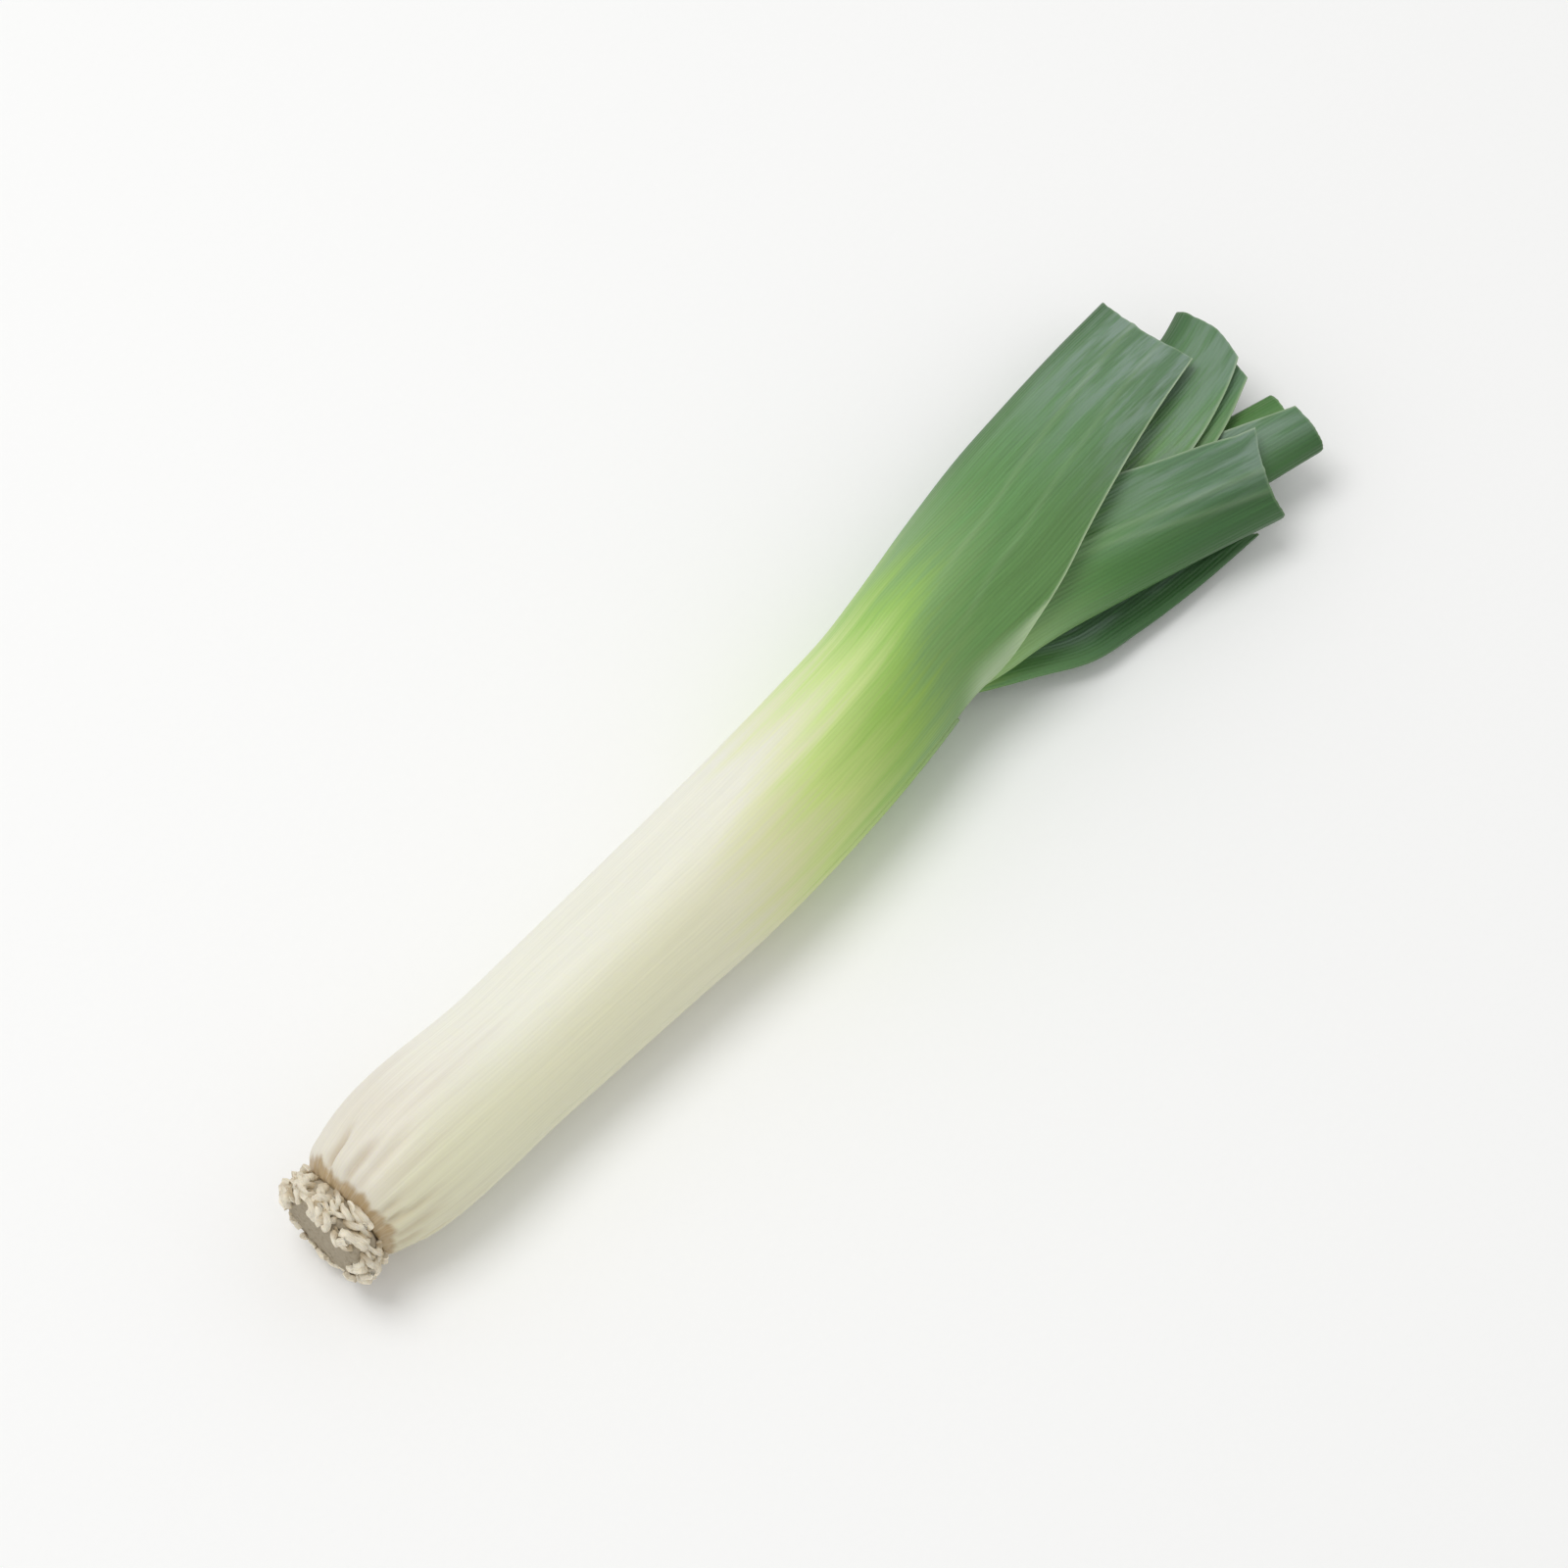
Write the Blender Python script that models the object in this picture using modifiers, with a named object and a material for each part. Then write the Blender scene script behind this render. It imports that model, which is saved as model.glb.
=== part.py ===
"""A leek lying on its side: a pale shank of tightly wrapped leaf sheaths, a trimmed root plate at one
end, and at the other a flat fan of folded leaves, cut straight across.

X runs along the shank from the roots to the leaf tips, Y across the fan and Z up. The origin is on the
ground, in the middle of the leek's length and width. The tables below hold millimetres from the foot of
the shank (x), from the shank's axis (y) and from the ground (z); MM turns them into metres.
"""

from dataclasses import dataclass
from math import cos, pi, radians, sin

import bmesh
import bpy
import numpy as np

MM = 0.001
MIDDLE_X = 167.8            # the middle of the leek's length, from the foot of the shank
MIDDLE_Y = 6.5              # the middle of the fan's width, from the shank's axis

SHEATH_THICKNESS = 1.4      # wall of the outer leaf, above the solid shank
BLADE_THICKNESS = 0.9       # wall of every other leaf
CUP_FLOOR = 203.0           # where the solid shank ends and the inner leaves begin
THROAT = 208.0              # where the outer leaf's tube starts to open

FOLD_STEPS = 96             # steps along half a leaf when its cross-section is added up
HALF_COLUMNS = 8            # columns of faces from a leaf's keel to its margin
SHEATH_COLUMNS = 14         # the same on the outer leaf, which goes round the shank
KEEL_CROWDING = 1.35        # above 1 the columns stand closer together at the keel
BLADE_ROWS = 11             # rows of faces along a leaf

PLATE_GAP = 0.3             # between the shank's foot and the root plate
PLATE_RADIUS = 15.4
PLATE_DEPTH = 7.6           # from the shank's foot to the trimmed face
PLATE_HEIGHT = 20.0         # of the plate's axis above the ground
PLATE_SIDE = -1.2           # of the plate's axis from the shank's axis, across
PLATE_STEPS = 28
ROOT_COUNT = 22
ROOT_RADIUS = 1.15
ROOT_REACH = 3.8            # how far a stub stands out from the plate's rim
ROOT_SINK = 2.2             # how deep a stub starts inside the plate

# Radius of the closed sheath against the distance from the foot of the shank.
SHANK_RADII = [(-2, 14.5), (2, 17.3), (8, 18.9), (60, 20.3), (100, 21.3), (130, 22.1), (160, 22.2),
               (180, 22.0), (200, 21.6), (THROAT - 1, 21.6), (THROAT, 21.6)]
SHANK_ROWS = [-2, 0, 2.5, 8, 22, 42, 62, 82, 102, 122, 142, 162, 182, CUP_FLOOR, THROAT]
THROAT_ROWS = [211, 214.5, 218, 222, 227, 233]


@dataclass
class Leaf:
    """One leaf, folded along its keel. side is +1 when the keel points to +Y. keel lists (x, y, z). up and
    down describe the two halves as (x, width from keel to margin, slope in degrees, radius of the fold).
    cut lists (place across, x of the cut end), with the place from -1 at the lower margin, through 0 at the
    keel, to 1. tube is the stretch over which a closed sheath turns into a folded blade, if it has one."""

    name: str
    side: int
    start: float
    keel: list
    up: list
    down: list
    cut: list
    tube: tuple = ()


SHEATH = [(x, pi * radius, -4, 14) for x, radius in SHANK_RADII]

OUTER = Leaf(
    "shank_and_outer_leaf", 1, -2,
    keel=[(-2, 13.5, 19.4), (2, 16.8, 19.8), (8, 18.6, 20.3), (60, 19.6, 20.8), (100, 20.6, 21.5),
          (130, 21.4, 22.2), (160, 22.9, 22.3), (180, 24.3, 22.3), (200, 26.2, 22.2), (215, 29, 22.2),
          (241, 34.9, 22), (265, 39.8, 21), (289, 43.2, 19.5), (313, 46, 18), (337, 48, 16.5)],
    up=SHEATH + [(222, 65.5, -4, 14), (240, 59.5, -3, 13.5), (257, 56, -1, 12.5), (295, 48, 8, 8.5),
                 (337, 39.5, 15, 4.5)],
    down=SHEATH + [(213, 58, -4, 14), (218, 45, -4, 14), (224, 37, -4, 14), (240, 38, -3, 13.5),
                   (257, 40, 0, 12), (295, 41, 5, 9), (337, 38, 14, 4.5)],
    cut=[(-1, 332), (0, 337.5), (0.12, 335.5), (0.5, 332.5), (1, 333)],
    tube=(THROAT, 264),
)

BLADES = [
    Leaf(
        "right_outer_leaf", -1, 207,
        keel=[(205, -9, 22), (215, -11.6, 22), (222, -13.4, 22), (230, -15, 22), (240, -16, 21.5),
              (251, -17.6, 20.5), (263, -20.2, 19.5), (276, -23, 18), (296, -28, 17), (322, -35, 16)],
        up=[(205, 33, -4, 12), (215, 38, -4, 12), (240, 44, -4, 10.5), (270, 39.5, 0, 9), (300, 32, 12, 7),
            (320, 28.5, 20, 6), (333, 24.5, 22, 6)],
        down=[(205, 34, 0, 8.6), (215, 36, 0, 8.4), (240, 38, 0, 7.3), (270, 32, 4, 7), (290, 26, 10, 6),
              (320, 25, 18, 6)],
        cut=[(-1, 318), (0, 320.5), (0.2, 319.5), (0.5, 321.5), (1, 328.5)],
    ),
    Leaf(
        "left_inner_leaf", 1, 208.5,
        keel=[(205, 20, 22), (240, 24, 21.5), (270, 24.5, 19), (300, 23, 18.5), (325, 25, 18.5),
              (340, 27.6, 19), (349, 30.5, 19)],
        up=[(205, 22, -6, 10), (225, 26.5, -6, 9.6), (240, 31, -6, 9), (270, 36, -3, 7.2), (300, 35, 3, 6),
            (320, 32.5, 7, 5), (348, 26.5, 9, 4)],
        down=[(205, 19, 0, 6.7), (225, 24, 0, 6.2), (240, 29.5, 0, 5.6), (270, 33, 2, 5.3), (300, 30, 5, 5),
              (348, 25, 9, 4)],
        cut=[(-1, 343), (0, 347), (0.3, 347.5), (0.7, 347.5), (1, 344)],
    ),
    Leaf(
        "left_heart_leaf", 1, 210,
        keel=[(205, 17, 22), (240, 20.5, 21.5), (270, 21.5, 19), (300, 20.3, 18.3), (325, 22.2, 18.3),
              (346, 27, 18.5)],
        up=[(205, 19, -6, 8.3), (225, 24, -6, 8), (240, 29, -6, 7.5), (270, 35, -3, 5.8),
            (300, 35, 2.5, 4.7), (320, 33, 6, 3.9), (346, 28.5, 8, 2.8)],
        down=[(205, 19, 0, 5.7), (225, 24, 0, 5.2), (240, 28, 0, 4.2), (270, 31, 2, 4), (300, 27, 4, 3.8),
              (346, 22, 8, 2.8)],
        cut=[(-1, 341), (0, 345), (0.5, 345.5), (1, 342)],
    ),
    Leaf(
        "right_inner_leaf", -1, 211.5,
        keel=[(205, -5, 22), (222, -8.6, 22), (240, -11.8, 21.5), (262, -15, 20), (296, -20, 18.5),
              (326, -25.5, 18), (343, -28.8, 18)],
        up=[(205, 15, -8, 6.6), (240, 27, -8, 5.7), (270, 28, -4, 4), (300, 26, -1, 3.5),
            (315, 22.5, 2, 3.4), (328, 19, 14, 3.6), (344, 15.5, 22, 4)],
        down=[(205, 15, 0, 4.2), (240, 26, 0, 2.9), (270, 26, 0, 2.6), (300, 22, 2, 2.7),
              (344, 15.5, 18, 4)],
        cut=[(-1, 341), (0, 343), (0.5, 343.5), (1, 343.5)],
    ),
    Leaf(
        "heart_leaf", 1, 213,
        keel=[(205, 8, 22), (240, 7, 21.3), (270, 5, 19.2), (300, 1, 18.5), (330, -3.5, 19.3),
              (345, -7.5, 20)],
        up=[(205, 9, -8, 4.8), (240, 14, -8, 3.4), (270, 16, -5, 2), (300, 15, -2, 1.6),
            (330, 13.5, 6, 1.9), (345, 11, 8, 2)],
        down=[(205, 9, 0, 2.4), (240, 14, 0, 1.6), (270, 16, 0, 1.5), (300, 15, 0, 1.5), (345, 11, 8, 2)],
        cut=[(-1, 342), (0, 344.5), (1, 342)],
    ),
    Leaf(
        "lower_right_leaf", -1, 214,
        keel=[(210, -1, 8.6), (218, -5, 8.6), (225, -9.5, 8.6), (240, -18, 8.8), (252, -24.5, 8.4),
              (270, -27.4, 6.6), (290, -29.3, 6), (316, -30.3, 6)],
        up=[(210, 8, 0, 1.4), (240, 14, -1, 1.4), (270, 14, 0, 1.5), (300, 8, 2, 1.4), (316, 3, 4, 1.4)],
        down=[(210, 8, 0, 1.4), (240, 11, 0, 1.4), (270, 12, 4, 1.4), (316, 6, 6, 1.4)],
        cut=[(-1, 310), (0, 316), (1, 312)],
    ),
]

GREENS = {
    "shank_and_outer_leaf": (0.62, 0.68, 0.42),
    "right_outer_leaf": (0.10, 0.17, 0.10),
    "left_inner_leaf": (0.12, 0.22, 0.11),
    "left_heart_leaf": (0.14, 0.25, 0.11),
    "right_inner_leaf": (0.14, 0.24, 0.13),
    "heart_leaf": (0.13, 0.26, 0.09),
    "lower_right_leaf": (0.09, 0.15, 0.10),
}
ROOT_COLOUR = (0.56, 0.46, 0.32)


def placed(point):
    """A point of the tables, in metres from the leek's own origin."""
    x, y, z = point
    return ((x - MIDDLE_X) * MM, (y - MIDDLE_Y) * MM, z * MM)


def smooth(table, column, x):
    """Values of one column of a table at the places x, on a smooth curve through its rows."""
    places = np.array([row[0] for row in table], float)
    values = np.array([row[column] for row in table], float)
    slopes = np.gradient(values, places)
    x = np.clip(x, places[0], places[-1])
    i = np.clip(np.searchsorted(places, x, side="right") - 1, 0, len(places) - 2)
    gap = places[i + 1] - places[i]
    t = (x - places[i]) / gap
    start = (1 + 2 * t) * (1 - t) ** 2 * values[i] + t * (1 - t) ** 2 * gap * slopes[i]
    return start + t * t * (3 - 2 * t) * values[i + 1] + t * t * (t - 1) * gap * slopes[i + 1]


def leaf_points(leaf, x, across, depth):
    """Points of a leaf's skin, depth inside its outer face. x is along the leek and across runs from -1 at
    the lower margin, through 0 at the keel, to 1 at the upper margin."""
    upper = across >= 0
    width, slope, radius = (
        np.where(upper, smooth(leaf.up, column, x), smooth(leaf.down, column, x)) for column in (1, 2, 3)
    )
    opened = np.ones((len(x), 1))
    if leaf.tube:
        t = np.clip((x - leaf.tube[0]) / (leaf.tube[1] - leaf.tube[0]), 0, 1)
        opened = (t * t * (3 - 2 * t))[:, None]
    tube_radius = smooth(SHANK_RADII, 1, x)

    def heading(part):
        """Turn of the skin at part of the way from keel to margin. It leaves the keel straight up. Round a
        tube it turns evenly, and in a folded blade it turns near the keel and then runs on at its slope."""
        fold = (pi / 2 - np.radians(slope)[:, None]) * (1 - np.exp(-part * (width / radius)[:, None]))
        return (1 - opened) * part * (width / tube_radius)[:, None] + opened * fold

    turn = heading((np.arange(FOLD_STEPS) + 0.5)[None, :] / FOLD_STEPS)
    here = heading(np.abs(across)[:, None])[:, 0]
    step = (width / FOLD_STEPS)[:, None]
    none = np.zeros((len(x), 1))
    inward = np.concatenate([none, np.cumsum(np.sin(turn) * step, 1)], 1)
    rise = np.concatenate([none, np.cumsum(np.cos(turn) * step, 1)], 1)
    place = np.abs(across) * FOLD_STEPS
    i = np.clip(place.astype(int), 0, FOLD_STEPS - 1)
    row = np.arange(len(x))
    share = place - i
    inward = inward[row, i] * (1 - share) + inward[row, i + 1] * share + depth * np.cos(here)
    rise = rise[row, i] * (1 - share) + rise[row, i + 1] * share - depth * np.sin(here)
    y = smooth(leaf.keel, 1, x) - leaf.side * inward
    z = smooth(leaf.keel, 2, x) + np.where(upper, rise, -rise)
    return np.stack([x, y, z], -1)


def columns(half):
    """Places across a leaf, closer together at the keel."""
    half_way = (np.arange(half + 1) / half) ** KEEL_CROWDING
    return np.concatenate([-half_way[:0:-1], half_way])


def leaf_grid(leaf, rows, across, depth, straight_to):
    """Rows of points over a leaf. Rows up to straight_to are square to the leek, and those beyond it lean
    over more and more, until the last lies along the leaf's cut end."""
    x = np.repeat(np.array(rows, float)[:, None], len(across), 1)
    ends = smooth(leaf.cut, 1, across)[None, :]
    beyond = np.clip((x - straight_to) / (rows[-1] - straight_to), 0, None)
    x = np.where(x > straight_to, straight_to + (ends - straight_to) * beyond, x)
    places = np.repeat(across[None, :], len(rows), 0)
    points = leaf_points(leaf, x.ravel(), places.ravel(), depth)
    return points.reshape(len(rows), len(across), 3)


def material(name, colour, roughness):
    made = bpy.data.materials.new(name)
    made.use_nodes = True
    shader = made.node_tree.nodes["Principled BSDF"]
    shader.inputs["Base Color"].default_value = (*colour, 1)
    shader.inputs["Roughness"].default_value = roughness
    shader.inputs["Metallic"].default_value = 0
    return made


def add_object(name, mesh, colour, collection):
    mesh.materials.append(material(name, colour, 0.45))
    mesh.shade_smooth()
    mesh.set_sharp_from_angle(angle=radians(40))
    made = bpy.data.objects.new(name, mesh)
    collection.objects.link(made)
    return made


def close_mesh(name, bm):
    """A mesh from bm, with points that lie on each other joined and every face turned outwards."""
    bmesh.ops.remove_doubles(bm, verts=bm.verts, dist=1e-6)
    bmesh.ops.recalc_face_normals(bm, faces=bm.faces)
    mesh = bpy.data.meshes.new(name)
    bm.to_mesh(mesh)
    bm.free()
    return mesh


def sheet_faces(bm, corners):
    """Faces between neighbouring rows and columns of a grid of points."""
    for lower, upper in zip(corners, corners[1:]):
        for a, b, c, d in zip(lower, lower[1:], upper[1:], upper):
            bm.faces.new((a, b, c, d))


def strip_faces(bm, left, right):
    """Faces between two lines of points of equal number."""
    for a, b, c, d in zip(left, left[1:], right[1:], right):
        bm.faces.new((a, b, c, d))


def add_points(bm, grid):
    return [[bm.verts.new(placed(point)) for point in row] for row in grid]


def make_blade(leaf, collection):
    """A leaf as a thin folded solid, from inside the throat to its cut end."""
    end = leaf.cut[len(leaf.cut) // 2][1]
    rows = np.linspace(leaf.start, end, BLADE_ROWS + 1)
    across = columns(HALF_COLUMNS)
    bm = bmesh.new()
    outer, inner = (
        add_points(bm, leaf_grid(leaf, rows, across, depth, leaf.start)) for depth in (0, BLADE_THICKNESS)
    )
    for corners in (outer, inner):
        sheet_faces(bm, corners)
    strip_faces(bm, outer[0], inner[0])
    strip_faces(bm, outer[-1], inner[-1])
    for side in (0, -1):
        strip_faces(bm, [row[side] for row in outer], [row[side] for row in inner])
    return add_object(leaf.name, close_mesh(leaf.name, bm), GREENS[leaf.name], collection)


def make_outer_leaf(leaf, collection):
    """The solid shank, which carries on as the outer leaf: a tube up to the throat, then a folded blade."""
    end = leaf.cut[len(leaf.cut) // 2][1]
    rows = SHANK_ROWS + THROAT_ROWS + list(np.linspace(THROAT_ROWS[-1], end, BLADE_ROWS)[1:])
    across = columns(SHEATH_COLUMNS)
    floor = SHANK_ROWS.index(CUP_FLOOR)
    open_from = SHANK_ROWS.index(THROAT)
    bm = bmesh.new()
    outer = add_points(bm, leaf_grid(leaf, rows, across, 0, THROAT))
    inner = add_points(bm, leaf_grid(leaf, rows, across, SHEATH_THICKNESS, THROAT)[floor:])
    sheet_faces(bm, outer)
    sheet_faces(bm, inner)
    bm.faces.new(outer[0][:-1])
    bm.faces.new(inner[0][:-1])
    strip_faces(bm, outer[-1], inner[-1])
    for side in (0, -1):
        edge = [row[side] for row in outer[open_from:]]
        strip_faces(bm, edge, [row[side] for row in inner[open_from - floor:]])
    return add_object(leaf.name, close_mesh(leaf.name, bm), GREENS[leaf.name], collection)


def make_root_disc(collection):
    """The plate that the roots grew from: a turned disc, cut flat at its foot."""
    radius, depth = PLATE_RADIUS, PLATE_DEPTH
    profile = [(0, 0), (0.86 * radius, 0), (radius, 0.3 * depth), (radius, 0.75 * depth),
               (0.93 * radius, depth), (0, depth)]
    mesh = bpy.data.meshes.new("root_plate")
    corners = [(r * MM, 0, -z * MM) for r, z in profile]
    mesh.from_pydata(corners, [(i, i + 1) for i in range(len(corners) - 1)], [])
    disc = add_object("root_plate", mesh, ROOT_COLOUR, collection)
    screw = disc.modifiers.new("turned", "SCREW")
    screw.steps = screw.render_steps = PLATE_STEPS
    screw.use_merge_vertices = True
    screw.merge_threshold = 0.0001
    screw.use_normal_calculate = True
    disc.rotation_euler = (0, pi / 2, 0)
    disc.location = placed((SHANK_RADII[0][0] - PLATE_GAP, PLATE_SIDE, PLATE_HEIGHT))
    return disc


def root_route(number):
    """Points of one root stub: out of the plate's rim, then bent back and round, and trimmed short."""
    angle = 2 * pi * number / ROOT_COUNT + 0.12 * sin(5.3 * number)
    lean = 0.5 + 0.35 * sin(2.7 * number)
    swing = 0.22 * sin(4.1 * number + 1)
    reach = ROOT_REACH * (0.85 + 0.15 * sin(3.7 * number))
    points = []
    for t in (0, 0.3, 0.55, 0.8, 1):
        out = PLATE_RADIUS - ROOT_SINK + (ROOT_SINK + reach) * sin(0.5 * pi * t)
        turn = angle + swing * t * t
        back = PLATE_DEPTH * (0.38 + lean * t)
        points.append((
            SHANK_RADII[0][0] - PLATE_GAP - back,
            PLATE_SIDE + out * cos(turn),
            PLATE_HEIGHT + out * sin(turn),
        ))
    return points


def make_roots(collection):
    """All the root stubs as round bevelled lines, turned into one mesh with closed ends."""
    curve = bpy.data.curves.new("root_stubs", "CURVE")
    curve.dimensions = "3D"
    curve.bevel_depth = ROOT_RADIUS * MM
    curve.bevel_resolution = 1
    curve.use_fill_caps = True
    for number in range(ROOT_COUNT):
        route = root_route(number)
        spline = curve.splines.new("POLY")
        spline.points.add(len(route) - 1)
        for point, place in zip(spline.points, route):
            point.co = (*placed(place), 1)
    line = bpy.data.objects.new("root_lines", curve)
    collection.objects.link(line)
    graph = bpy.context.evaluated_depsgraph_get()
    mesh = bpy.data.meshes.new_from_object(line.evaluated_get(graph))
    bm = bmesh.new()
    bm.from_mesh(mesh)
    bmesh.ops.remove_doubles(bm, verts=bm.verts, dist=1e-6)
    bmesh.ops.recalc_face_normals(bm, faces=bm.faces)
    bm.to_mesh(mesh)
    bm.free()
    stubs = bpy.data.objects.new("root_stubs", mesh)
    stubs.matrix_world = line.matrix_world
    collection.objects.link(stubs)
    bpy.data.objects.remove(line)
    stubs.hide_render = True
    stubs.display_type = "WIRE"
    return stubs


def new_collection(name):
    made = bpy.data.collections.new(name)
    bpy.context.scene.collection.children.link(made)
    return made


def main():
    for thing in list(bpy.data.objects):
        bpy.data.objects.remove(thing)
    leek = new_collection("leek")
    helpers = new_collection("leek_helpers")
    make_outer_leaf(OUTER, leek)
    for leaf in BLADES:
        make_blade(leaf, leek)
    disc = make_root_disc(leek)
    union = disc.modifiers.new("roots", "BOOLEAN")
    union.operation = "UNION"
    union.use_self = True
    union.object = make_roots(helpers)


main()
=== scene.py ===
"""A trimmed leek lying on a pale surface: a white shank that turns green at the throat, a flat fan of folded
leaves, and a cut root plate with its ring of root stubs.

The tables hold millimetres from the foot of the shank (x), from the shank's axis (y) and from the ground
(z). MM turns them into metres, and placed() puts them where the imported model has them.
"""

from dataclasses import dataclass
from functools import partial
from math import cos, pi, radians, sin

import bmesh
import bpy
import numpy as np
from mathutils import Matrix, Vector


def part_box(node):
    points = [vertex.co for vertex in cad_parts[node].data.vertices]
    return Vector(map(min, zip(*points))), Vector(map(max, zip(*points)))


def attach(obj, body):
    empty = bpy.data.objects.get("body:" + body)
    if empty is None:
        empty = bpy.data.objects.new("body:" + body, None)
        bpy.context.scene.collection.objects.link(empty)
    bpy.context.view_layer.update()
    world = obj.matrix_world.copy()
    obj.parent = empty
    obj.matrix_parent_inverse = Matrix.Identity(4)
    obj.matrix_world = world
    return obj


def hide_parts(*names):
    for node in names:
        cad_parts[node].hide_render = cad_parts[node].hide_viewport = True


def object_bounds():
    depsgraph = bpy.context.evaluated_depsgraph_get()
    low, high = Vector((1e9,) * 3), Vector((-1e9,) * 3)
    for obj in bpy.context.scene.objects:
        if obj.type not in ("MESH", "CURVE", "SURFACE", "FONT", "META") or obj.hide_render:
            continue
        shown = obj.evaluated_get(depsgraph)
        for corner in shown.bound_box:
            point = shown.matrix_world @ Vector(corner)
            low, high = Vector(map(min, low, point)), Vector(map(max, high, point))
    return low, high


bl_info = {
    "name": "Leek",
    "version": (1, 0, 0),
    "blender": (4, 5, 0),
    "location": "3D View > Sidebar > Leek",
    "description": "Builds a trimmed leek leaf by leaf, on a pale surface",
    "category": "Add Mesh",
}

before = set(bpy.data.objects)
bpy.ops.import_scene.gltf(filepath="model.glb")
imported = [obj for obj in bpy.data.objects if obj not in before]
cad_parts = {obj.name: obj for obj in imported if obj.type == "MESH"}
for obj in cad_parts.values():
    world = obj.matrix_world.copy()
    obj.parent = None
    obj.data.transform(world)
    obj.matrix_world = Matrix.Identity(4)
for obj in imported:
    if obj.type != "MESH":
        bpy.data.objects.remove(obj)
CAD_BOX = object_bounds()
MM = 0.001

PUCKERS_END = 26.0          # where the last of the puckers above the foot fades out
CUP_FLOOR = 203.0           # where the solid shank ends, just below the inner leaves
THROAT = 208.0              # where the outer leaf's tube starts to open
BLADE_START = 240.0         # where the outer leaf's rows reach their full spacing
OUTER_COLUMNS = 84          # columns on each side of the outer leaf's keel
FOLD_STEPS = 96             # steps along half a leaf when its cross-section is added up
KEEL_CROWDING = 1.2         # above 1 the columns stand closer together at the keel

# Radius of the closed sheath against the distance from the foot of the shank.
SHANK_RADII = [(-2, 14.5), (2, 17.3), (8, 18.9), (60, 20.3), (100, 21.3), (130, 22.1), (160, 22.2),
               (180, 22.0), (200, 21.6), (THROAT - 1, 21.6), (THROAT, 21.6)]
FOOT = SHANK_RADII[0][0]
LONGEST = 350.0             # longer than any leaf reaches, for a ramp of colours along it
RING = 21.6                 # radius of the ring that a leaf's patterns are wound on


@dataclass
class Leaf:
    """One leaf, folded along its keel. node is the solid that it stands for, and side is +1 when the keel
    points to +Y. keel lists (x, y, z). up and down describe the two halves as (x, width from keel to
    margin, slope in degrees, radius of the fold). cut lists (place across, x of the cut end), with the
    place from -1 at the lower margin, through 0 at the keel, to 1. tones lists (x, name of a colour).
    bloom is the strength of its wax, which sets in between the two values of bloomed. lag is how much later
    the keel turns green than the flanks. bare is half the width of the dark strip along the keel, which has
    no wax and is also darkened as painted shade. pleats lists (x, place, x, place, height) from end to end of
    a raised pleat, whose top is painted paler as a highlight."""

    node: str
    side: int
    start: float
    keel: list
    up: list
    down: list
    cut: list
    tones: list
    bloom: float
    bloomed: tuple = (235, 290)
    lag: float = 0
    bare: float = 9
    tube: tuple = ()
    pleats: tuple = ()


SHEATH = [(x, pi * radius, -4, 14) for x, radius in SHANK_RADII]

OUTER = Leaf(
    "shank_and_outer_leaf", 1, FOOT,
    keel=[(-2, 13.5, 19.4), (2, 16.8, 19.8), (8, 18.6, 20.3), (60, 19.6, 20.8), (100, 20.6, 21.5),
          (130, 21.4, 22.2), (160, 22.9, 22.3), (180, 24.3, 22.3), (200, 26.2, 22.2), (215, 29, 22.2),
          (241, 34.9, 22), (265, 39.8, 21), (289, 43.2, 19.5), (313, 46, 18), (337, 48, 16.5)],
    up=SHEATH + [(222, 65.5, -4, 14), (240, 59.5, -3, 13.5), (257, 56, -1, 12.5), (295, 48, 8, 8.5),
                 (337, 39.5, 15, 4.5)],
    down=SHEATH + [(213, 58, -4, 14), (218, 45, -4, 14), (224, 37, -4, 14), (240, 38, -3, 13.5),
                   (257, 40, 0, 12), (295, 41, 5, 9), (337, 38, 14, 4.5)],
    cut=[(-1, 332), (0, 337.5), (0.12, 335.5), (0.5, 332.5), (1, 333)],
    tones=[(-2, "cream"), (30, "white"), (118, "white"), (138, "ivory"), (160, "yellow"), (186, "bright"),
           (206, "leafy"), (232, "green"), (315, "dark")],
    bloom=0.62, bloomed=(262, 325), lag=28, tube=(THROAT, 264),
    pleats=((230, 0.52, 334, 0.46, 0.3), (224, 0.7, 334, 0.72, 0.22)),
)

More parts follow.
